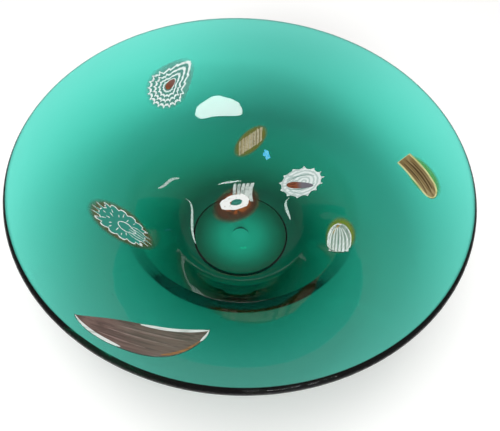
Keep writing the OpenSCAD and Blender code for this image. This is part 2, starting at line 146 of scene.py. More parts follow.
class StageLook(bpy.types.PropertyGroup):
    """The table, the lights and the camera."""
    camera_tilt: angle("Camera tilt", "How far the camera looks down", 55.84)
    camera_roll: angle("Camera roll", "How far the camera is turned about its view", 3.77)
    camera_distance: amount("Camera distance", "From the point looked at, in rim radii", 2.104)
    camera_lens: amount("Lens", "Focal length in millimetres on a 36 mm sensor", 37.44)
    # The table's glow carries the painted shadow under the bowl and the painted shade behind it.
    table_glow: amount("Table glow", "Light that comes up through the pale table", 0.55)
    shade_behind: amount("Shade behind", "How dark the soft shade behind the bowl is", 1.0)
    horizon_light: amount("Horizon light", "The room's light near the table's level", 0.45)
    ceiling_light: amount("Ceiling light", "The room's light overhead", 0.22)
    window_power: amount("Window power", "The window's light in watts", 2.6)
    ceiling_power: amount("Ceiling power", "The light panel overhead, in watts", 20.0)
    ceiling_place: FloatVectorProperty(name="Ceiling panel place", description="Middle of the light panel",
                                       default=(-0.15, -0.2, 1.5), size=3, subtype="TRANSLATION")
    ceiling_size: amount("Ceiling panel size", "Side of the light panel, in metres", 1.1)
    window_length: distance("Window length", "Long side of the window", 630)
    window_width: distance("Window width", "Short side of the window", 105)
    window_turn: angle("Window turn", "Direction of the window's long side, from X", 19)
    window_place: FloatVectorProperty(name="Window place", description="Middle of the window",
                                      default=(0.36, -0.56, 1.4), size=3, subtype="TRANSLATION")
    aim_x: amount("Aim across", "The point looked at, in rim radii", 0.0439)
    aim_y: amount("Aim along", "The point looked at, in rim radii", -0.2843)


# ---------------------------------------------------------------------------------------------
# Shader expressions
# ---------------------------------------------------------------------------------------------

class Wire:
    """A number socket in a node tree that can be used in Python arithmetic."""

    def __init__(self, tree, socket):
        self.tree = tree
        self.socket = socket

    def math(self, operation, *others):
        node = self.tree.nodes.new("ShaderNodeMath")
        node.operation = operation
        for slot, value in zip(node.inputs, (self, *others)):
            plug(self.tree, slot, value)
        return Wire(self.tree, node.outputs[0])

    def __add__(self, other):
        return self.math("ADD", other)

    def __sub__(self, other):
        return self.math("SUBTRACT", other)

    def __rsub__(self, other):
        return (self * -1) + other

    def __mul__(self, other):
        return self.math("MULTIPLY", other)

    def __truediv__(self, other):
        return self.math("DIVIDE", other)

    def __pow__(self, other):
        return self.math("POWER", other)

    def __gt__(self, other):
        return self.math("GREATER_THAN", other)

    def fract(self):
        return self.math("FRACT")

    def abs(self):
        return self.math("ABSOLUTE")

    def max(self, other):
        return self.math("MAXIMUM", other)

    def min(self, other):
        return self.math("MINIMUM", other)

    def near(self, value, half, soft):
        """1 within half of value, falling to 0 over the soft distance beyond it."""
        return 1 - (self - value).abs().smooth(half, half + soft)

    def smooth(self, low, high):
        """0 below low, 1 above high, and a soft step between."""
        return make(self.tree, "ShaderNodeMapRange", {"interpolation_type": "SMOOTHSTEP"},
                    {"Value": self, "From Min": low, "From Max": high})["Result"]


def plug(tree, slot, value):
    """Sets a socket to a value, or links it to a Wire or socket."""
    if isinstance(value, Wire):
        tree.links.new(value.socket, slot)
    elif isinstance(value, bpy.types.NodeSocket):
        tree.links.new(value, slot)
    else:
        slot.default_value = value


def make(tree, kind, settings=None, values=None):
    """Adds a node: its settings first, then its socket values or links. Gives its outputs by name."""
    node = tree.nodes.new(kind)
    for name, value in (settings or {}).items():
        if name == "stops":
            ramp = node.color_ramp
            while len(ramp.elements) < len(value):
                ramp.elements.new(1.0)
            for element, (place, tone) in zip(ramp.elements, value):
                element.position = place
                element.color = (*tone, 1)
        else:
            setattr(node, name, value)
    for name, value in (values or {}).items():
        plug(tree, node.inputs[name], value)
    return {out.name: Wire(tree, out) for out in node.outputs if out.enabled}


def new_material(name):
    """An empty node material and its tree."""
    material = bpy.data.materials.new(name)
    material.use_nodes = True
    material.node_tree.nodes.clear()
    return material, material.node_tree


def finish_surface(tree, values, volume=None):
    """A Principled surface, and a volume if one is given."""
    shader = make(tree, "ShaderNodeBsdfPrincipled", None, values)
    links = {"Surface": shader["BSDF"]}
    if volume is not None:
        links["Volume"] = volume
    make(tree, "ShaderNodeOutputMaterial", None, links)


def bowl_glass_material(look):
    """Clear teal glass: it takes colour with depth, and its face has faint waves."""
    material, tree = new_material("teal_glass")
    place = make(tree, "ShaderNodeTexCoord")["Object"]
    waves = make(tree, "ShaderNodeTexNoise", None, {"Vector": place, "Scale": 22.0, "Detail": 1.0})["Fac"]
    spot = make(tree, "ShaderNodeSeparateXYZ", None, {"Vector": place})
    from_axis = (spot["X"] * spot["X"] + spot["Y"] * spot["Y"]) ** 0.5
    rings = noise(tree, from_axis * 150, spot["X"] * 3, spot["Y"] * 3, 1.0) * look.tool_rings
    seeds = make(tree, "ShaderNodeTexVoronoi", None, {"Vector": place, "Scale": look.seeds})["Distance"]
    pits = 1 - seeds.smooth(0.02, 0.06)
    bump = make(tree, "ShaderNodeBump", None, {"Height": waves + rings - pits, "Strength": 0.3,
                                               "Distance": 0.0002})
    volume = make(tree, "ShaderNodeVolumeAbsorption", None,
                  {"Color": (*look.tint, 1), "Density": look.density})["Volume"]
    finish_surface(tree, {"Base Color": (1, 1, 1, 1), "Roughness": 0.0, "IOR": look.ior,
                          "Transmission Weight": 1.0, "Normal": bump["Normal"]}, volume)
    return material


def noise(tree, x, y, z, detail=2.0):
    """Soft random values about 0.5, one cell for each unit of x, y and z."""
    spot = make(tree, "ShaderNodeCombineXYZ", None, {"X": x, "Y": y, "Z": z})["Vector"]
    return make(tree, "ShaderNodeTexNoise", None, {"Vector": spot, "Scale": 1.0, "Detail": detail})["Fac"]


def blend(tree, factor, first, second):
    """A colour from first to second as the factor goes from 0 to 1."""
    first, second = [(*tone, 1) if isinstance(tone, tuple) else tone for tone in (first, second)]
    colours = make(tree, "ShaderNodeMix", {"data_type": "RGBA"}, {"Factor": factor, 6: first, 7: second})
    return colours["Result"]


def oval_level(x, y, size, wide_at):
    """0 in the middle of an oval and 1 at its edge, size long and wide in millimetres."""
    front, back = size[0] * (1 - wide_at), size[0] * wide_at
    x_share = x * ((x > 0) * (1 / front - 1 / back) + 1 / back)
    y_share = y * (2 / size[1])
    return (x_share * x_share + y_share * y_share) ** 0.5


def cane_surface(tree, colour, alpha=1.0, roughness=0.12):
    """Smooth glossy glass of one colour, opaque or partly clear."""
    finish_surface(tree, {"Base Color": colour, "Roughness": roughness, "IOR": 1.5, "Alpha": alpha})


def halo_glass(stand, name, tone, size, wide_at, strength, middle=(0, 0), lean=0.0):
    """A clear sleeve round a slice, strongest in its middle and fading out at its edge."""
    material, tree = new_material(name)
    x, y, z = stand.local(tree)
    level = oval_level(x - middle[0], y - x * lean - middle[1], size, wide_at)
    mottle = noise(tree, x * 0.25, y * 0.25, z)
    alpha = (1 - level.smooth(0.7, 1.0)) * strength * (mottle * 0.5 + 0.75)
    cane_surface(tree, (*tone, 1), alpha)
    return material


def angle_round(x, y):
    """Direction from the slice's middle, in radians."""
    return y.math("ARCTAN2", x)


def clear_ground(name, tone, alpha):
    """Clear glass of one colour between the white lines of a star."""
    material, tree = new_material(name)
    cane_surface(tree, (*tone, 1), alpha)
    return material


def ring_white(stand, name, size, wide_at, count):
    """White glass with thin darker lines that run outwards, count of them round the ring, and a few
    that follow the outline."""
    material, tree = new_material(name)
    x, y, z = stand.local(tree)
    level = oval_level(x, y, size, wide_at)
    spread = noise(tree, angle_round(x, y) * (count / tau), level * 1.5, z, 3.0).smooth(0.55, 0.72)
    follow = noise(tree, level * 14, x * 0.2, y * 0.2, 1.0).smooth(0.6, 0.75) * 0.6
    cane_surface(tree, blend(tree, spread.max(follow) * 0.4, WHITE, SHADE))
    return material


def drawn_glass(stand, name, tones, along, across, low=0.42, high=0.66, alpha=1.0):
    """Glass in two colours, mixed in lines: along and across are how often it varies, per millimetre."""
    material, tree = new_material(name)
    x, y, z = stand.local(tree)
    lines = noise(tree, x * along, y * across, z * 0.5, 3.0).smooth(low, high)
    cane_surface(tree, blend(tree, lines, *tones), alpha)
    return material


def petal_glass(stand, name, size, wide_at):
    """White petals: nested lines round the middle, broken towards the blunt end."""
    material, tree = new_material(name)
    x, y, z = stand.local(tree)
    level = oval_level(x, y, size, wide_at) + (noise(tree, x * 0.3, y * 0.3, z) - 0.5) * 0.12
    rows = (level * 5.2).fract().near(0.5, 0.12, 0.2)
    strands = noise(tree, x * 0.15, y * 1.3, z, 2.0).smooth(0.5, 0.62)
    tail = (x * -0.12 + 0.3).smooth(0.0, 1.0)
    lines = (rows * 0.75).max(strands * tail)
    cane_surface(tree, blend(tree, lines * 0.62, WHITE, SHADE))
    return material


def core_glass(stand, name, length, tail, middle=0.0):
    """Red-brown glass that turns into the tail's colour towards X."""
    material, tree = new_material(name)
    x, y, z = stand.local(tree)
    streaks = noise(tree, x * 0.25, y * 1.8, z).smooth(0.4, 0.7)
    brown = blend(tree, streaks, (0.27, 0.075, 0.03), (0.11, 0.03, 0.015))
    cane_surface(tree, blend(tree, ((x - middle) / length + 0.5).smooth(0.42, 0.7), brown, tail))
    return material


def banded_rod(stand, name, pitch, slant):
    """An olive rod seen through crossing bands, tan and dark by turns, with thin pale lines."""
    material, tree = new_material(name)
    x, y, z = stand.local(tree)
    wander = noise(tree, x * 0.3, y * 0.2, z) * 1.2
    bands = ((x + y * slant + wander) / pitch).fract()
    tan = bands.near(0.5, 0.16, 0.18)
    pale = bands.near(0.86, 0.04, 0.05)
    strands = noise(tree, x * 1.6, y * 0.2, z, 2.0).smooth(0.45, 0.7) * 0.5
    colour = blend(tree, tan, (0.12, 0.10, 0.025), (0.40, 0.33, 0.17))
    cane_surface(tree, blend(tree, pale.max(strands * tan), colour, (0.62, 0.62, 0.48)))
    return material


def pool_glass(stand, name, size):
    """Amber-brown glass that clears towards its rim and is orange in places round the white ring."""
    material, tree = new_material(name)
    x, y, z = stand.local(tree)
    level = oval_level(x, y, size, 0.5)
    clouds = noise(tree, x * 0.16, y * 0.16, z, 3.0)
    rim = level.near(0.9, 0.04, 0.08) * clouds.smooth(0.4, 0.6)
    warm = (1 - oval_level(x - 1.0, y - 1.0, (27, 22), 0.5).smooth(0.6, 1.0)) * clouds.smooth(0.35, 0.55)
    tone = blend(tree, warm.max(rim), (0.085, 0.035, 0.018), (0.30, 0.085, 0.02))
    alpha = (1 - (level + clouds * 0.15).smooth(0.72, 1.05)) * (clouds * 0.5 + 0.5 + warm * 0.2)
    cane_surface(tree, tone, alpha.min(0.93))
    return material


def dome_glass(stand, name, size):
    """The beehive's pale body: grey-white, with amber arcs under its cap."""
    material, tree = new_material(name)
    x, y, z = stand.local(tree)
    level = oval_level(x, y, size, 0.42)
    top = (x * 0.3 - 0.2).smooth(0, 1)
    arcs = (level + noise(tree, x * 0.5, y * 0.5, z) * 0.1).near(0.9, 0.05, 0.06) * top
    lines = noise(tree, x * 0.08, y * 1.7, z, 2.0).smooth(0.42, 0.64)
    body = blend(tree, lines, (0.22, 0.33, 0.27), (0.42, 0.50, 0.43))
    cane_surface(tree, blend(tree, arcs, body, (0.48, 0.30, 0.07)), 0.9)
    return material


def shard_glass(stand, name):
    """Brown glass drawn out in long bands of grey, pink and darker brown."""
    material, tree = new_material(name)
    x, y, z = stand.local(tree)
    bands = noise(tree, x * 0.02, (y + x * 0.28) * 0.34, z, 3.0)
    fine = noise(tree, x * 0.03, (y + x * 0.28) * 1.6, z, 2.0).smooth(0.5, 0.7)
    base = blend(tree, bands.smooth(0.38, 0.62), (0.095, 0.056, 0.045), (0.165, 0.10, 0.082))
    cane_surface(tree, blend(tree, fine * 0.35, base, (0.27, 0.18, 0.16)))
    return material


def pale_table(look):
    """A pale matt table that gives off light of its own, with a painted shadow under the bowl and a painted
    shade behind it.
    """
    material, tree = new_material("pale_table")
    place = make(tree, "ShaderNodeTexCoord")["Object"]
    # Painted shadow: the glow's colour falls off round the foot, and a second painted shade darkens it behind
    # the bowl.
    from_foot = make(tree, "ShaderNodeVectorMath", {"operation": "LENGTH"}, {0: place})["Value"]
    glow = make(tree, "ShaderNodeValToRGB", {"stops": SHADOW_UNDER_BOWL},
                {"Fac": from_foot / SHADOW_REACH})["Color"]
    behind = make(tree, "ShaderNodeVectorMath", {"operation": "DISTANCE"}, {0: place, 1: SHADE_BEHIND})
    shade = (1 - behind["Value"].smooth(0.0, SHADE_WIDTH)) * look.shade_behind
    finish_surface(tree, {"Base Color": (0.8, 0.795, 0.785, 1), "Roughness": 0.6,
                          "Emission Color": blend(tree, shade, glow, (0, 0, 0)),
                          "Emission Strength": look.table_glow})
    return material


# ---------------------------------------------------------------------------------------------
# The bowl's profile, as (radius, height)
# ---------------------------------------------------------------------------------------------

ARC_STEP = radians(2.5)


def direction(a):
    """A step of length 1 at an angle from the first axis."""
    return Vector((cos(a), sin(a)))


def heading(start, end):
    """The angle at which a line runs from start to end."""
    return atan2(end.y - start.y, end.x - start.x)


def mix(a, b, share):
    """What lies a share of the way from a to b."""
    return a + (b - a) * share


def bend(corner, a_in, a_out, radius, depth=0.0):
    """A rounded corner of the profile, moved depth towards the outside of the bowl."""
    side = 1 if a_out > a_in else -1
    centre = corner + direction((a_in + a_out) / 2 + pi / 2) * side * radius / cos((a_out - a_in) / 2)
    steps = ceil(abs(a_out - a_in) / ARC_STEP)
    return [centre - direction(mix(a_in, a_out, i / steps) + pi / 2) * side * (radius + side * depth)
            for i in range(steps + 1)]


class Profile:
    """Corners and angles of the bowl's inside and outside profile."""

    def __init__(self, form):
        self.form = form
        self.lip_r = form.lip / 2
        self.floor = Vector((form.floor_radius, form.floor_height))
        self.turn = Vector((form.turn_radius, form.turn_height))
        self.lip = Vector((RIM_RADIUS - self.lip_r, BOWL_HEIGHT - self.lip_r))
        self.pad_edge = Vector((PAD_HIGH.x, PAD_HIGH.z))
        self.heel = Vector((form.floor_radius + form.heel_out, PAD_HIGH.z + form.heel_rise))
        self.outer_turn = Vector((form.turn_radius + form.turn_out, form.turn_height - form.turn_drop))
        self.wall_a = heading(self.floor, self.turn)
        self.flare_a = heading(self.turn, self.lip) + asin(self.lip_r / (self.lip - self.turn).length)
        self.base_a = heading(self.pad_edge, self.heel)
        self.side_a = heading(self.heel, self.outer_turn)
        self.under_a = (heading(self.outer_turn, self.lip)
                        - asin(self.lip_r / (self.lip - self.outer_turn).length))

    def inside(self, depth=0.0):
        """The inside profile from the axis to the lip, moved depth into the glass."""
        return [Vector((0, self.floor.y - depth)),
                *bend(self.floor, 0, self.wall_a, self.form.floor_bend, depth),
                *bend(self.turn, self.wall_a, self.flare_a, self.form.turn_bend, depth),
                self.lip + direction(self.flare_a + pi / 2) * (self.lip_r - depth)]

    def lip_round(self):
        """The round of the lip, from the inside profile over to the outside one."""
        first, last = self.flare_a + pi / 2, self.under_a - pi / 2
        return [self.lip + direction(mix(first, last, i / LIP_STEPS)) * self.lip_r
                for i in range(1, LIP_STEPS)]

    def outside(self):
        """The outside profile from the lip down to the resting face, and in to the axis."""
        form = self.form
        down = [self.lip - direction(self.under_a + pi / 2) * self.lip_r,
                *reversed(bend(self.outer_turn, self.side_a, self.under_a, form.turn_bend)),
                *reversed(bend(self.heel, self.base_a, self.side_a, form.heel_bend))]
        centre = Vector((PAD_HIGH.x - FOOT_EDGE_IN - FOOT_EDGE_BEND, FOOT_EDGE_BEND))
        foot_round = [centre + FOOT_EDGE_BEND * direction(-pi / 2 * i / 6) for i in range(7)]
        return down + [self.pad_edge, *foot_round, *self.pontil()]

    def pontil(self):
        """The hollow that the iron left under the foot: a small step, and a dome in from it."""
        radius, depth = self.form.pontil_radius, self.form.pontil_depth
        step = 0.45 * depth
        dome = depth - step
        ball = (radius ** 2 + dome ** 2) / (2 * dome)
        reach = asin(radius / ball)
        centre = Vector((0, depth - ball))
        return [Vector((radius + PONTIL_STEP_RUN, 0)),
                *(centre + ball * direction(pi / 2 - reach * (1 - i / 8)) for i in range(9))]

    def on_wall(self, share):
        """Radius at a share of the way from the floor's edge to the turn."""
        return mix(self.floor.x, self.turn.x, share)

    def on_flare(self, share):
        """Radius at a share of the way from the turn to the rim."""
        return mix(self.turn.x, RIM_RADIUS, share)

    def surface(self, radius, depth=0.0):
        """Height and slope of the inside profile, moved depth into the glass, at a radius."""
        line = self.inside(depth)
        for a, b in zip(line, line[1:]):
            if a.x <= radius <= b.x:
                return mix(a.y, b.y, (radius - a.x) / (b.x - a.x)), heading(a, b)
        raise ValueError("radius is outside the bowl")


# ---------------------------------------------------------------------------------------------
# Modelling by hand
# ---------------------------------------------------------------------------------------------

def deselect():
    """Nothing selected and object mode on, as each new piece starts."""
    if bpy.context.object and bpy.context.object.mode != "OBJECT":
        bpy.ops.object.mode_set(mode="OBJECT")
    bpy.ops.object.select_all(action="DESELECT")


def draw_line(name, points):
    """A chain of edges through the points, drawn by extruding one vertex. Left in edit mode."""
    deselect()
    bpy.ops.mesh.primitive_plane_add(size=MM)
    piece = bpy.context.object
    piece.name = piece.data.name = name
    bpy.ops.object.mode_set(mode="EDIT")
    bpy.ops.mesh.select_all(action="SELECT")
    bpy.ops.mesh.merge(type="CENTER")
    bpy.ops.transform.translate(value=points[0])
    for a, b in zip(points, points[1:]):
        bpy.ops.mesh.extrude_region_move(TRANSFORM_OT_translate={"value": b - a})
    return piece


def turned(name, profile, steps):
    """A closed body turned about the Z axis from a profile that starts and ends on it."""
    piece = draw_line(name, [Vector((p.x, 0, p.y)) for p in profile])
    bpy.ops.mesh.select_all(action="SELECT")
    bpy.ops.mesh.spin(steps=steps, angle=tau, center=(0, 0, 0), axis=(0, 0, 1))
    bpy.ops.mesh.select_all(action="SELECT")
    bpy.ops.mesh.remove_doubles(threshold=BODY_JOIN_WITHIN)
    bpy.ops.mesh.normals_make_consistent(inside=False)
    bpy.ops.object.mode_set(mode="OBJECT")
    bpy.ops.object.shade_smooth()
    return piece


def pick(piece, test):
    """Selects the vertices in edit mode whose place passes the test."""
    mesh = bmesh.from_edit_mesh(piece.data)
    for vert in mesh.verts:
        vert.select_set(test(vert.co))
    mesh.select_flush(True)
    bmesh.update_edit_mesh(piece.data)


def rescale(x, y, middle=(0, 0)):
    """Scales the selected points from a middle given in millimetres."""
    bpy.ops.transform.resize(value=(x, y, 1), center_override=(middle[0] * MM, middle[1] * MM, 0))


def shift(x, y):
    """Moves the selected points by x and y millimetres."""
    bpy.ops.transform.translate(value=(x * MM, y * MM, 0))


def swing(turn, middle=(0, 0)):
    """Turns the selected points to the left by an angle in degrees, about a middle in millimetres."""
    bpy.ops.transform.rotate(value=-radians(turn), orient_axis="Z",
                             center_override=(middle[0] * MM, middle[1] * MM, 0))


def anywhere(turn):
    """True all round."""
    return True


def at_ends(turn):
    """True near the two ends of the long axis."""
    return abs(sin(turn)) < 0.62


def at_sides(turn):
    """True along the two long sides."""
    return not at_ends(turn)


def away_from_tip(turn):
    """True except round the end that X points at."""
    return cos(turn) < 0.55


def outline(name, size, spikes=0, teeth=(), wide_at=0.5, points=64, wobble=0.0, middle=(0, 0), tip=1.0):
    """A flat loop, its size, wobble and middle in millimetres, its widest place at wide_at along the
    length, left selected. Each of the teeth is (where, notch, round): valleys are drawn in by the notch
    between spikes, and the flanks by that share of it which is 1 - round. The half towards X is
    narrowed in six steps to the share of its width given as the tip."""
    deselect()
    count = 4 * spikes if spikes else points
    bpy.ops.mesh.primitive_circle_add(vertices=count, radius=0.5)
    piece = bpy.context.object
    piece.name = piece.data.name = name
    bpy.ops.object.mode_set(mode="EDIT")
    for where, notch, lobe in teeth:
        for flank, drawn in ((0, 1.0), (1, 1 - lobe)):
            def chosen(co):
                turn = atan2(co.y, co.x)
                part = round(turn / tau * count) % 4
                return where(turn) and part in ((2,), (1, 3))[flank]
            pick(piece, chosen)
            rescale(1 - notch * drawn, 1 - notch * drawn)
    for step in range(6 if tip < 1 else 0):
        pick(piece, lambda co: co.x > 0.5 * step / 6)
        rescale(1, tip ** (1 / 6))
    pick(piece, lambda co: co.x > 0)
    rescale(2 * (1 - wide_at), 1)
    pick(piece, lambda co: co.x < 0)
    rescale(2 * wide_at, 1)
    bpy.ops.mesh.select_all(action="SELECT")
    rescale(size[0] * MM, size[1] * MM)
    if wobble:
        bpy.ops.transform.vertex_random(offset=wobble * MM, seed=len(name), uniform=0.3)
    shift(*middle)
    return piece


# The loops that fill a piece, as shares of its size.
FILL = (0.9, 0.78, 0.65, 0.52, 0.4, 0.28, 0.16)
CORE_FILL = (0.8, 0.55, 0.3)


def fill_inwards(piece, shares=FILL, middle=(0, 0), closed=True):
    """Extrudes the selected loop inwards through the shares of its size, and closes the middle."""
    last = (1.0, 1.0)
    for share in shares:
        share = share if isinstance(share, tuple) else (share, share)
        bpy.ops.mesh.extrude_region_move()
        rescale(share[0] / last[0], share[1] / last[1], middle)
        last = share
    if closed:
        bpy.ops.mesh.extrude_region_move()
        bpy.ops.mesh.merge(type="CENTER")
    return piece


def block(name, length, width, share=None, off=None, middle=(0, 0), turn=0.0):
    """A flat grid, in millimetres, turned to the left by an angle in degrees. Each of its columns can be
    given a share of the width and be moved across, by its place from -1 to 1 along the length."""
    deselect()
    bpy.ops.mesh.primitive_grid_add(x_subdivisions=max(2, round(length / GRID)),
                                    y_subdivisions=max(2, round(width / GRID)), size=1)
    piece = bpy.context.object
    piece.name = piece.data.name = name
    bpy.ops.object.mode_set(mode="EDIT")
    bpy.ops.mesh.select_all(action="SELECT")
    rescale(length * MM, width * MM)
    for x in sorted({round(vert.co.x, 7) for vert in bmesh.from_edit_mesh(piece.data).verts}):
        place = 2 * x / (length * MM)
        pick(piece, lambda co: abs(co.x - x) < 1e-6)
        if share:
            rescale(1, max(share(place), 0.03))
        if off:
            shift(0, off(place))
    bpy.ops.mesh.select_all(action="SELECT")
    if turn:
        swing(turn)
    shift(*middle)
    return piece


def taper(loss, power=2):
    """Shares of a block's width that fall by the loss from its middle to its ends: the higher the
    power, the nearer the ends. With a power of 1 the block widens backwards and narrows forwards."""
    return lambda t: 1 - loss * t ** power


def together(name, pieces):
    """Joins flat pieces into one, left in edit mode."""
    deselect()
    for piece in pieces:
        piece.select_set(True)
    bpy.context.view_layer.objects.active = pieces[0]
    if len(pieces) > 1:
        bpy.ops.object.join()
    piece = bpy.context.object
    piece.name = piece.data.name = name
    bpy.ops.object.mode_set(mode="EDIT")
    return piece


class Stand:
    """A place on the inside face: its X runs up the slope before the turn, and its Z out of the glass."""

    def __init__(self, profile, around, radius, turn):
        height, slope = profile.surface(radius)
        self.matrix = (Matrix.Rotation(radians(around), 4, "Z") @ Matrix.Translation((radius, 0, height))
                       @ Matrix.Rotation(-slope, 4, "Y") @ Matrix.Rotation(radians(turn), 4, "Z"))

    def local(self, tree):
        """Place in the slice's own plane, in millimetres, as x, y and z."""
        place = make(tree, "ShaderNodeTexCoord")["Object"]
        own = make(tree, "ShaderNodeMapping", {"vector_type": "TEXTURE"},
                   {"Vector": place, "Location": self.matrix.to_translation(),
                    "Rotation": self.matrix.to_euler()})["Vector"]
        scaled = make(tree, "ShaderNodeVectorMath", {"operation": "SCALE"}, {0: own, "Scale": 1000.0})
        split = make(tree, "ShaderNodeSeparateXYZ", None, {"Vector": scaled["Vector"]})
        return split["X"], split["Y"], split["Z"]


def lay(piece, stand, level, cuts):
    """Lays a flat piece on the inside face of the bowl, level steps above the lowest glass, and gives it
    thickness down into the bowl's glass."""
    if cuts:
        bpy.ops.mesh.select_all(action="SELECT")
        bpy.ops.mesh.subdivide(number_cuts=cuts)
    bpy.ops.object.mode_set(mode="OBJECT")
    piece.matrix_world = stand.matrix @ Matrix.Translation((0, 0, LIFT))
    wrap = piece.modifiers.new("on_the_face", "SHRINKWRAP")
    wrap.target = bpy.data.objects["bowl_glass"]
    wrap.wrap_method = "PROJECT"
    wrap.wrap_mode = "ABOVE_SURFACE"
    wrap.use_project_z = True
    wrap.use_negative_direction = True
    wrap.use_positive_direction = False
    wrap.offset = PROUD + level * LEVEL
    bpy.ops.object.modifier_apply(modifier=wrap.name)
    bpy.ops.object.transform_apply(location=True, rotation=True, scale=True)
    bpy.ops.object.mode_set(mode="EDIT")
    bpy.ops.mesh.select_all(action="SELECT")
    bpy.ops.mesh.remove_doubles(threshold=JOIN_WITHIN)
    bpy.ops.mesh.normals_make_consistent(inside=False)
    bpy.ops.object.mode_set(mode="OBJECT")
    up = sum((poly.normal * poly.area for poly in piece.data.polygons), Vector())
    if up.dot(stand.matrix.col[2].to_3d()) < 0:
        bpy.ops.object.mode_set(mode="EDIT")
        bpy.ops.mesh.flip_normals()
        bpy.ops.object.mode_set(mode="OBJECT")
    shell = piece.modifiers.new("thickness", "SOLIDIFY")
    shell.thickness = THICK
    shell.offset = -1
    bpy.ops.object.modifier_apply(modifier=shell.name)
    bpy.ops.object.shade_smooth_by_angle(angle=radians(50))
    return piece


def dress(piece, material, slot, *nodes):
    """Gives a finished piece its material and its body, and hides the CAD nodes it stands for. The slot is
    not used.
    """
    piece.data.materials.clear()
    piece.data.materials.append(material)
    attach(piece, "root")
    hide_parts(*nodes)


# ---------------------------------------------------------------------------------------------
# Operators
# ---------------------------------------------------------------------------------------------

class BOWL_OT_body(bpy.types.Operator):
    """Turn the bowl's glass body, with its lip, casing and foot fused into one wall"""
    bl_idname = "bowl.body"
    bl_label = "Glass body"

    def execute(self, context):
        scene = context.scene
        profile = Profile(scene.bowl_form)
        points = profile.inside() + profile.lip_round() + profile.outside()
        body = turned("bowl_glass", points, BODY_STEPS)
        dress(body, bowl_glass_material(scene.bowl_glass), "teal_glass",
              "inner_gather", "outer_casing", "foot_pad")
        return {"FINISHED"}


class BOWL_OT_far_star(bpy.types.Operator):
    """Lay the slice on the far flare: white zigzag rings round a red-brown core"""
    bl_idname = "bowl.far_star"
    bl_label = "Far star"

    def execute(self, context):
        profile = Profile(context.scene.bowl_form)
        stand = Stand(profile, around=125, radius=profile.on_flare(0.48), turn=-64)
        size, sleeve_size = (45, 28), (48.5, 31.5)
        wide, tip = 0.42, 0.42
        teeth = ((away_from_tip, 0.13, 0.0), (lambda turn: not away_from_tip(turn), 0.03, 0.0))

        def star(size, spikes, inner, tip=tip):
            """A closed line along a zigzag loop, between the outer shares of its size."""
            return fill_inwards(outline("ring", size, spikes, teeth, wide, tip=tip), inner, closed=False)

        sleeve = fill_inwards(outline("far_star_sleeve", sleeve_size, wide_at=wide, tip=0.6))
        lay(sleeve, stand, 0, 1)
        dress(sleeve, halo_glass(stand, "far_star_halo", (0.20, 0.36, 0.32), sleeve_size, wide, 0.4),
              "grey_teal_sleeve_glass", "far_star_sleeve")

        ground = fill_inwards(outline("far_star_ground", size, 22, teeth, wide, tip=tip))
        lay(ground, stand, 1, 1)
        dress(ground, clear_ground("far_star_clear", (0.12, 0.40, 0.33), 0.25), "deep_teal_glass",
              "far_star_ground")

        rings = together("far_star_outer_ring", [star(size, 22, (0.94, 0.89)),
                                                 star((34.5, 20), 20, (0.93, 0.86))])
        lay(rings, stand, 2, 1)
        dress(rings, ring_white(stand, "far_star_white", size, wide, 40), "opaque_white",
              "far_star_outer_ring")

        inner = together("far_star_inner_ring", [star((24, 13.5), 14, (0.92, 0.82)),
                                                 star((14, 8), 0, (0.9, 0.78), 0.6)])
        lay(inner, stand, 2, 1)
        dress(inner, ring_white(stand, "far_star_inner_white", (25, 17), wide, 30), "opaque_white",
              "far_star_inner_ring")

        middle = (1, 0)
        core = fill_inwards(outline("far_star_core", (10, 4.6), wide_at=0.4, points=32, middle=middle),
                            CORE_FILL, middle)
        lay(core, stand, 3, 0)
        dress(core, core_glass(stand, "far_star_brown", 30, (0.2, 0.1, 0.08)), "red_brown_glass",
              "far_star_core")
        return {"FINISHED"}


class BOWL_OT_striped_cane(bpy.types.Operator):
    """Lay the slice above the well: cream stripes across an olive rod in a green sleeve"""
    bl_idname = "bowl.striped_cane"
    bl_label = "Striped cane"

    def execute(self, context):
        profile = Profile(context.scene.bowl_form)
        stand = Stand(profile, around=87.5, radius=profile.on_wall(0.8), turn=-42)

        size = (34, 17)
        sleeve = fill_inwards(outline("striped_cane_sleeve", size))
        lay(sleeve, stand, 0, 1)
        dress(sleeve, halo_glass(stand, "striped_cane_halo", (0.22, 0.19, 0.02), size, 0.5, 0.65),
              "green_sleeve_glass", "striped_cane_sleeve")

        rod = block("striped_cane_rod", 17.5, 11, taper(0.1, 4), lambda t: 6 * t, turn=-44)
        bpy.ops.transform.vertex_random(offset=0.15 * MM, seed=3)
        lay(rod, stand, 1, 0)
        dress(rod, banded_rod(stand, "striped_cane_bands", 3.2, -0.95), "olive_glass", "striped_cane_rod")

        stripes = []
        for i in range(7):
            length, place = 11 + 1.6 * (i % 2), i - 3
            stripes.append(block("stripe", length, 0.8 + 0.25 * (i % 3), taper(0.7, 4),
                                 lambda t: 0.5 * t * t, (place * 3.2, -0.2 - place * 0.5), 47))
        stripes = together("striped_cane_stripes", stripes)
        lay(stripes, stand, 2, 0)
        dress(stripes, drawn_glass(stand, "striped_cane_cream", ((0.54, 0.49, 0.34), (0.27, 0.22, 0.11)),
                                   1.6, 0.15), "cream_glass", "striped_cane_stripes")
        return {"FINISHED"}


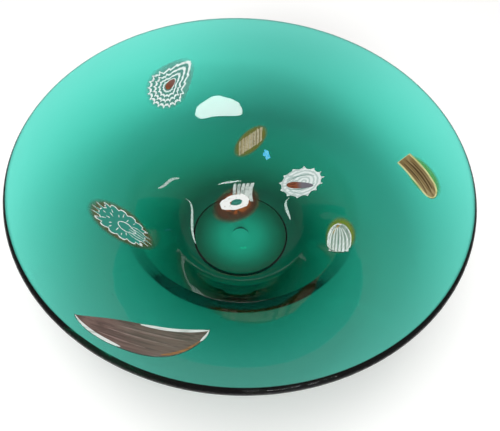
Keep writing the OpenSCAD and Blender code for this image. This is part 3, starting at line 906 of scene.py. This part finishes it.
class BOWL_OT_floor_eye(bpy.types.Operator):
    """Lay the slice on the well's floor: a thick white ring and a fan of stripes in an amber pool"""
    bl_idname = "bowl.floor_eye"
    bl_label = "Floor eye"

    def execute(self, context):
        profile = Profile(context.scene.bowl_form)
        stand = Stand(profile, around=102, radius=profile.floor.x * 0.62, turn=-63)
        size, middle = (43, 31), (2.4, 1.9)

        pool = fill_inwards(outline("floor_eye_pool", size, wobble=0.4))
        lay(pool, stand, 0, 1)
        dress(pool, pool_glass(stand, "floor_eye_amber", size), "amber_glass", "floor_eye_pool")

        stripes = []
        step = Vector((0.78, -0.63)) * 3.4
        for i in range(5):
            stripes.append(block("stripe", 11.4 + 0.7 * i, 2.3 + 0.2 * i, taper(0.25, 6),
                                 lambda t: (0.3 + 0.35 * i) * (1 - t * t), turn=51))
            shift(*(Vector((11, 5.9)) + step * (i - 2)))
        fan = together("floor_eye_fan", stripes)
        lay(fan, stand, 1, 0)
        dress(fan, drawn_glass(stand, "floor_eye_fan_white", ((0.60, 0.67, 0.63), (0.30, 0.38, 0.34)),
                               0.35, 0.35, alpha=0.92), "opaque_white", "floor_eye_fan")

        ring = outline("floor_eye_ring", (24, 13.5), 7, ((anywhere, 0.08, 0.5),), 0.6, middle=middle)
        swing(-18, middle)
        ring = fill_inwards(ring, (0.9, (0.75, 0.72), (0.58, 0.56), (0.42, 0.42)), middle, closed=False)
        bpy.ops.mesh.select_all(action="SELECT")
        bpy.ops.transform.vertex_random(offset=0.4 * MM, seed=5, uniform=0.2)
        lay(ring, stand, 2, 1)
        dress(ring, drawn_glass(stand, "floor_eye_white", ((0.86, 0.87, 0.85), (0.42, 0.40, 0.34)), 0.55,
                                0.9, 0.56, 0.74), "opaque_white", "floor_eye_ring")

        centre = fill_inwards(outline("floor_eye_centre", (11, 6.6), middle=middle, points=32),
                              (0.7, 0.4), middle)
        lay(centre, stand, 1, 1)
        dress(centre, drawn_glass(stand, "floor_eye_teal", ((0.02, 0.16, 0.12), (0.06, 0.28, 0.22)), 0.3,
                                  0.6), "deep_teal_glass", "floor_eye_centre")
        return {"FINISHED"}


class BOWL_OT_daisy(bpy.types.Operator):
    """Lay the slice on the well's right wall: dense white petals round a brown core"""
    bl_idname = "bowl.daisy"
    bl_label = "Daisy"

    def execute(self, context):
        profile = Profile(context.scene.bowl_form)
        stand = Stand(profile, around=38.5, radius=profile.on_wall(0.56), turn=-36)
        size, wide = (38, 24), 0.55
        teeth = ((lambda turn: cos(turn) > -0.2, 0.17, 0.15), (lambda turn: cos(turn) <= -0.2, 0.1, 0.0))

        petals = fill_inwards(outline("daisy_petals", size, 13, teeth, wide, wobble=0.3, tip=0.8))
        lay(petals, stand, 0, 1)
        dress(petals, petal_glass(stand, "daisy_white", size, wide), "opaque_white", "daisy_petals")

        lines = []
        for side in (-1, 1):
            lines.append(block("line", 22, 0.8, taper(0.7),
                               lambda t: side * 2.2 * (1 - t * t), (-2, side * 2.8)))
        lines = together("daisy_ground", lines)
        lay(lines, stand, 1, 0)
        dress(lines, drawn_glass(stand, "daisy_grey", (SHADE, (0.33, 0.42, 0.38)), 0.3, 1.0),
              "grey_teal_sleeve_glass", "daisy_ground")

        middle = (-7.5, -1)
        core = outline("daisy_core", (22.5, 5), wide_at=0.32, points=32, middle=middle)
        swing(-13, middle)
        core = fill_inwards(core, CORE_FILL, middle)
        lay(core, stand, 2, 0)
        dress(core, core_glass(stand, "daisy_brown", 22, (0.17, 0.16, 0.19), -5.5), "red_brown_glass",
              "daisy_core")
        return {"FINISHED"}


class BOWL_OT_beehive(bpy.types.Operator):
    """Lay the slice on the well's right edge: white ribs under a yellow-green cap"""
    bl_idname = "bowl.beehive"
    bl_label = "Beehive"

    def execute(self, context):
        profile = Profile(context.scene.bowl_form)
        stand = Stand(profile, around=-15, radius=profile.on_wall(0.93), turn=80)

        def egg(t):
            """Share of the full width from the fringe, -1, to the top, 1."""
            return (1 - max(t, 0) ** 1.9) ** 0.6 * (1 - (max(-t - 0.4, 0) / 0.64) ** 2.2) ** 0.5

        def lean(t):
            """The slice leans to one side towards its top."""
            return 4.5 * t

        cap = block("beehive_cap", 32, 27, egg, lambda t: 6 * t + 0.6, (1.2, 0))
        lay(cap, stand, 0, 0)
        dress(cap, halo_glass(stand, "beehive_halo", (0.22, 0.29, 0.02), (31, 27), 0.5, 0.72, (0.6, 0.4),
                              0.38), "green_sleeve_glass", "beehive_cap")

        body = block("beehive_ground", 24, 19, egg, lean, (-1.5, 0))
        lay(body, stand, 1, 0)
        dress(body, dome_glass(stand, "beehive_body", (24, 17)), "amber_glass", "beehive_ground")

        ribs = []
        for i in range(6):
            side = (i - 2.5) / 2.5
            if abs(side) == 1:
                ribs.append(block("edge", 22.5, 0.9, None,
                                  lambda t: side * 9.2 * egg(t) + lean(t), (-1.5, 0)))
            ribs.append(block("rib", 20.5 - 1.5 * abs(side), 1.3, taper(0.5, 1),
                              lambda t: side * 7.2 * (0.2 + 0.8 * egg(0.15 + 0.8 * t)) + lean(t),
                              (-3 - 0.3 * (i % 2), 0)))
        ribs = together("beehive_ribs", ribs)
        lay(ribs, stand, 2, 0)
        dress(ribs, drawn_glass(stand, "beehive_white", (WHITE, (0.50, 0.58, 0.50)), 0.15, 2.0),
              "opaque_white", "beehive_ribs")
        return {"FINISHED"}


class BOWL_OT_long_cane(bpy.types.Operator):
    """Lay the slice on the right flare: an olive rod with pale edges in a green sleeve"""
    bl_idname = "bowl.long_cane"
    bl_label = "Long cane"

    def execute(self, context):
        profile = Profile(context.scene.bowl_form)
        stand = Stand(profile, around=4.5, radius=profile.on_flare(0.61), turn=-72)

        def rounded(t):
            """Share of the full width: square at the start, narrowing to a round end."""
            return (1 - max(t - 0.5, 0) ** 2 / 0.26) ** 0.5 * (1 - 0.16 * max(t, 0))

        def bow(t):
            """The slight bow of the cane, in millimetres."""
            return 1.3 * (1 - t * t)

        sleeve = fill_inwards(outline("long_cane_sleeve", (44, 16), middle=(0, 2.5)), middle=(0, 2.5))
        lay(sleeve, stand, 0, 1)
        dress(sleeve, halo_glass(stand, "long_cane_halo", (0.12, 0.42, 0.04), (43, 15.5), 0.5, 0.6, (0, 2.2)),
              "green_sleeve_glass", "long_cane_sleeve")

        edges = block("long_cane_edges", 40, 10.2, rounded, bow)
        lay(edges, stand, 1, 0)
        dress(edges, drawn_glass(stand, "long_cane_cream", ((0.68, 0.66, 0.34), (0.48, 0.46, 0.18)), 0.08,
                                 1.2), "cream_glass", "long_cane_edges")

        rod = block("long_cane_rod", 38.6, 8.1, rounded, bow, (-0.3, 0))
        lay(rod, stand, 2, 0)
        dress(rod, drawn_glass(stand, "long_cane_olive", ((0.19, 0.13, 0.05), (0.34, 0.26, 0.12)), 0.03,
                               0.7), "olive_glass", "long_cane_rod")

        lines = [block("line", long, wide, taper(0.5), bow, (-1, off))
                 for off, wide, long in ((-2.1, 0.7, 30), (0.5, 1.1, 32), (2.1, 0.8, 28))]
        lines = together("long_cane_lines", lines)
        lay(lines, stand, 3, 0)
        dress(lines, drawn_glass(stand, "long_cane_brown", ((0.07, 0.042, 0.015), (0.13, 0.085, 0.03)), 0.05,
                                 1.5), "dark_brown_glass", "long_cane_lines")
        return {"FINISHED"}


class BOWL_OT_oval_star(bpy.types.Operator):
    """Lay the slice on the left flare: a white zigzag outline, dashes and a loop on teal glass"""
    bl_idname = "bowl.oval_star"
    bl_label = "Oval star"

    def execute(self, context):
        profile = Profile(context.scene.bowl_form)
        stand = Stand(profile, around=-161, radius=profile.on_flare(0.12), turn=149)
        size, sleeve_size = (46.5, 23), (53, 30)
        teeth = ((at_ends, 0.24, 0.0), (at_sides, 0.15, 0.8))

        sleeve = fill_inwards(outline("oval_star_sleeve", sleeve_size))
        lay(sleeve, stand, 0, 1)
        dress(sleeve, halo_glass(stand, "oval_star_halo", (0.13, 0.12, 0.04), sleeve_size, 0.5, 0.75),
              "brown_sleeve_glass", "oval_star_sleeve")

        ground = fill_inwards(outline("oval_star_ground", size, 18, teeth))
        lay(ground, stand, 1, 1)
        dress(ground, clear_ground("oval_star_clear", (0.03, 0.34, 0.26), 0.75), "deep_teal_glass",
              "oval_star_ground")

        line = fill_inwards(outline("oval_star_outline", size, 18, teeth), ((0.96, 0.925),), closed=False)
        lay(line, stand, 2, 1)
        dress(line, drawn_glass(stand, "oval_star_white", (WHITE, (0.50, 0.64, 0.58)), 0.4, 0.4, 0.5, 0.7),
              "opaque_white", "oval_star_outline")

        dashes = []
        for i in range(20):
            turn, ring = tau * (i + 0.5) / 20, 0.62 + 0.22 * (i % 2)
            if cos(turn) < 0.5:
                dashes.append(block("dash", 2.2 + 0.6 * (i % 3), 0.7, taper(0.7), turn=degrees(turn)))
                shift(17 * ring * cos(turn), 9 * ring * sin(turn))
        for i in range(5):
            side = i - 2
            dashes.append(block("strand", 13 - abs(side), 0.55, taper(0.7),
                                lambda t: side * 0.5 * (1 - t * t), (11.5, side * 1.7)))
        dashes = together("oval_star_dashes", dashes)
        lay(dashes, stand, 2, 0)
        dress(dashes, drawn_glass(stand, "oval_star_dash_white", (WHITE, (0.45, 0.60, 0.54)), 0.8, 0.8),
              "opaque_white", "oval_star_dashes")

        middle = (3.5, 0)
        loop = fill_inwards(outline("oval_star_loop", (14, 7.5), points=40, wobble=0.15,
                                    middle=middle, tip=0.6), ((0.91, 0.83),), middle, closed=False)
        lay(loop, stand, 2, 1)
        dress(loop, drawn_glass(stand, "oval_star_loop_white", (WHITE, (0.5, 0.62, 0.57)), 0.6, 0.6),
              "opaque_white", "oval_star_loop")
        return {"FINISHED"}


class BOWL_OT_shard(bpy.types.Operator):
    """Lay the long flake on the near flare: brown glass with white edges and pink streaks"""
    bl_idname = "bowl.shard"
    bl_label = "Shard"

    def execute(self, context):
        profile = Profile(context.scene.bowl_form)
        stand = Stand(profile, around=-111, radius=profile.on_flare(0.7), turn=122)
        length, width = 71, 25

        def far_side(t):
            """The far edge, from the pointed end, -1, to the blunt end, 1."""
            return 0.42 * width + (1.4 * cos(1.6 * t + 0.3) - 1.6 * sin(2.6 * t)) * (1 - t * t)

        def bulge(t):
            """Share of the full width."""
            return sin(pi * (1 - (t + 1) / 2) ** 0.95) ** 0.75

        def near_side(t):
            """The near edge, which bellies out."""
            return far_side(t) - bulge(t) * width

        body = block("shard_body", length, width, bulge, lambda t: far_side(t) - bulge(t) * width / 2)
        lay(body, stand, 0, 0)
        dress(body, shard_glass(stand, "shard_brown"), "shard_brown_glass", "shard_body")

        def strip(name, start, end, wide, side, inset):
            """A strip along one side of the shard, from start to end of its length."""
            def place(t):
                return mix(start, end, (t + 1) / 2)
            return block(name, (end - start) * length / 2, wide, taper(0.75, 4),
                         lambda t: side(place(t)) + inset, ((start + end) * length / 4, 0))

        edges = together("shard_edges", [strip("far", -0.05, 0.98, 2.6, far_side, -0.7),
                                         strip("near", -0.99, -0.35, 2.4, near_side, 0.7),
                                         strip("tip", 0.8, 0.99, 2.2, near_side, 0.8)])
        lay(edges, stand, 1, 0)
        dress(edges, drawn_glass(stand, "shard_white", ((0.78, 0.8, 0.77), (0.52, 0.57, 0.53)), 0.1, 0.6, 0.5,
                                 0.7), "opaque_white", "shard_edges")

        streaks = [block("streak", 36 - 6 * i, 1.5 - 0.3 * i, taper(0.8), lambda t: -4.5 * t,
                         (4 - 8 * i, 4 - 3.6 * i)) for i in range(3)]
        streaks = together("shard_streaks", streaks)
        lay(streaks, stand, 1, 0)
        dress(streaks, drawn_glass(stand, "shard_pink", ((0.26, 0.17, 0.15), (0.17, 0.11, 0.09)), 0.05, 1.2),
              "shard_pink_glass", "shard_streaks")

        amber = strip("shard_amber_edge", 0.2, 0.8, 1.9, near_side, 1.2)
        lay(amber, stand, 2, 0)
        dress(amber, drawn_glass(stand, "shard_amber", ((0.36, 0.15, 0.045), (0.20, 0.095, 0.04)), 0.1, 0.8),
              "amber_glass", "shard_amber_edge")
        return {"FINISHED"}


class BOWL_OT_small_pieces(bpy.types.Operator):
    """Lay the turquoise chip and the three white threads"""
    bl_idname = "bowl.small_pieces"
    bl_label = "Chip and threads"

    def execute(self, context):
        profile = Profile(context.scene.bowl_form)
        stand = Stand(profile, around=74.5, radius=profile.on_wall(0.64), turn=40)
        chip = fill_inwards(outline("turquoise_chip", (9.4, 6), 5, ((anywhere, 0.3, 0.4),),
                                    wobble=0.8), (0.6, 0.3))
        lay(chip, stand, 0, 0)
        dress(chip, drawn_glass(stand, "turquoise", ((0.05, 0.50, 0.85), (0.25, 0.75, 0.92)), 0.8, 0.8),
              "turquoise_glass", "turquoise_chip")

        for name, wide, handles in (
                ("left_thread", 1.9, ((155, 9), (148, 1), (178, 1), (204, -3.5))),
                ("right_thread", 2.2, ((39, 7), (41, 2), (33, 1), (17, 0))),
                ("upper_thread", 2.2, ((165, 25), (158, 21), (154, 24), (147, 19)))):
            self.thread(profile, name, wide, handles)
        return {"FINISHED"}

    def thread(self, profile, name, wide, handles):
        """A thread that tapers to both ends along a curve between four handles, each a direction in
        degrees and a distance in millimetres outside the floor's edge."""
        spots = [direction(radians(around)) * (profile.floor.x + out * MM) for around, out in handles]
        middle = (spots[0] + spots[3]) / 2
        stand = Stand(profile, degrees(atan2(middle.y, middle.x)), middle.length, 0)
        flat = Matrix.Scale(1 / MM, 4) @ stand.matrix.inverted()
        a, b, c, d = [(flat @ Vector((*spot, profile.surface(spot.length)[0]))).to_2d() for spot in spots]
        run = (d - a).normalized()
        curve = []
        for i in range(41):
            t = i / 40
            spot = (1 - t) ** 3 * a + 3 * t * (1 - t) ** 2 * b + 3 * t * t * (1 - t) * c + t ** 3 * d - a
            curve.append((spot.dot(run), run.cross(spot)))

        def off(t):
            """How far the curve lies from its straight run at a place along it."""
            return min(curve, key=lambda spot: abs(spot[0] - (t + 1) / 2 * (d - a).length))[1]

        piece = block(name, (d - a).length, wide, taper(0.75), off, (a + d) / 2,
                      degrees(atan2(run.y, run.x)))
        lay(piece, stand, 0, 0)
        dress(piece, drawn_glass(stand, name + "_white", ((0.56, 0.68, 0.63), (0.26, 0.42, 0.36)), 0.5, 0.9),
              "opaque_white", name)


class BOWL_OT_stage(bpy.types.Operator):
    """Set the pale table, the soft lights and the camera"""
    bl_idname = "bowl.stage"
    bl_label = "Table, lights and camera"

    def execute(self, context):
        scene = context.scene
        look = scene.bowl_stage
        deselect()
        bpy.ops.mesh.primitive_plane_add(size=TABLE_SIZE, location=(0, 0, -TABLE_DROP))
        table = context.object
        table.name = "table"
        table.data.materials.append(pale_table(look))
        scene.view_settings.view_transform = "Standard"
        self.sky(scene, look)
        self.window(scene, look)
        self.ceiling(scene, look)
        self.camera(scene, look)
        return {"FINISHED"}

    def sky(self, scene, look):
        """A room that is lighter near the table's level than overhead."""
        world = bpy.data.worlds.new("soft_room")
        scene.world = world
        world.use_nodes = True
        tree = world.node_tree
        tree.nodes.clear()
        way = make(tree, "ShaderNodeTexCoord")["Generated"]
        height = make(tree, "ShaderNodeSeparateXYZ", None, {"Vector": way})["Z"]
        level = make(tree, "ShaderNodeMapRange", {"interpolation_type": "SMOOTHSTEP"},
                     {"Value": height, "From Min": 0.0, "From Max": 0.7, "To Min": look.horizon_light,
                      "To Max": look.ceiling_light})["Result"]
        glow = make(tree, "ShaderNodeBackground", None, {"Color": (1, 1, 1, 1), "Strength": level})
        make(tree, "ShaderNodeOutputWorld", None, {"Surface": glow["Background"]})

    def window(self, scene, look):
        """A long narrow window high to one side, aimed at the bowl."""
        data = bpy.data.lights.new("window", "AREA")
        data.shape = "ELLIPSE"
        data.size, data.size_y = look.window_length, look.window_width
        data.energy = look.window_power
        lamp = bpy.data.objects.new("window", data)
        scene.collection.objects.link(lamp)
        place = Vector(look.window_place)
        back = (place - Vector((0, 0, BOWL_HEIGHT / 2))).normalized()
        along = Vector((cos(look.window_turn), sin(look.window_turn), 0))
        along = (along - back * along.dot(back)).normalized()
        lamp.matrix_world = Matrix.Translation(place) @ Matrix((along, back.cross(along), back)).transposed(
            ).to_4x4()

    def ceiling(self, scene, look):
        """A large soft panel overhead that lights the pieces but is not mirrored in the glass."""
        data = bpy.data.lights.new("ceiling_panel", "AREA")
        data.shape = "SQUARE"
        data.size = look.ceiling_size
        data.energy = look.ceiling_power
        lamp = bpy.data.objects.new("ceiling_panel", data)
        scene.collection.objects.link(lamp)
        lamp.location = look.ceiling_place
        lamp.visible_glossy = False
        lamp.visible_transmission = False

    def camera(self, scene, look):
        """The camera, above and in front, tilted down and a little rolled."""
        ahead = Vector((0, cos(look.camera_tilt), -sin(look.camera_tilt)))
        rise = Vector((0, sin(look.camera_tilt), cos(look.camera_tilt)))
        across = Vector((1, 0, 0))
        right = across * cos(look.camera_roll) + rise * sin(look.camera_roll)
        up = rise * cos(look.camera_roll) - across * sin(look.camera_roll)
        aim = Vector((look.aim_x * RIM_RADIUS, look.aim_y * RIM_RADIUS, BOWL_HEIGHT - AIM_BELOW_RIM))
        data = bpy.data.cameras.new("camera")
        data.lens = look.camera_lens
        data.sensor_width = 36
        data.clip_start = 0.01
        camera = bpy.data.objects.new("camera", data)
        scene.collection.objects.link(camera)
        turn = Matrix((right, up, -ahead)).transposed().to_4x4()
        camera.matrix_world = Matrix.Translation(aim - ahead * look.camera_distance * RIM_RADIUS) @ turn
        scene.camera = camera


class BOWL_PT_panel(bpy.types.Panel):
    """The bowl's pieces, in the order in which they are made"""
    bl_idname = "BOWL_PT_panel"
    bl_label = "Cased glass bowl"
    bl_space_type = "VIEW_3D"
    bl_region_type = "UI"
    bl_category = "Bowl"

    def draw(self, context):
        for operator in OPERATORS:
            self.layout.operator(operator.bl_idname)


GROUPS = {"bowl_form": BowlForm, "bowl_glass": GlassLook, "bowl_stage": StageLook}
OPERATORS = (BOWL_OT_stage, BOWL_OT_body, BOWL_OT_far_star, BOWL_OT_striped_cane, BOWL_OT_floor_eye,
             BOWL_OT_daisy, BOWL_OT_beehive, BOWL_OT_long_cane, BOWL_OT_oval_star, BOWL_OT_shard,
             BOWL_OT_small_pieces)


def register():
    for item in (*GROUPS.values(), *OPERATORS, BOWL_PT_panel):
        bpy.utils.register_class(item)
    for name, group in GROUPS.items():
        setattr(bpy.types.Scene, name, PointerProperty(type=group))


def unregister():
    for name in GROUPS:
        delattr(bpy.types.Scene, name)
    for item in reversed((*GROUPS.values(), *OPERATORS, BOWL_PT_panel)):
        bpy.utils.unregister_class(item)


def main():
    register()
    for operator in OPERATORS:
        family, name = operator.bl_idname.split(".")
        getattr(getattr(bpy.ops, family), name)()


if __name__ == "__main__":
    main()
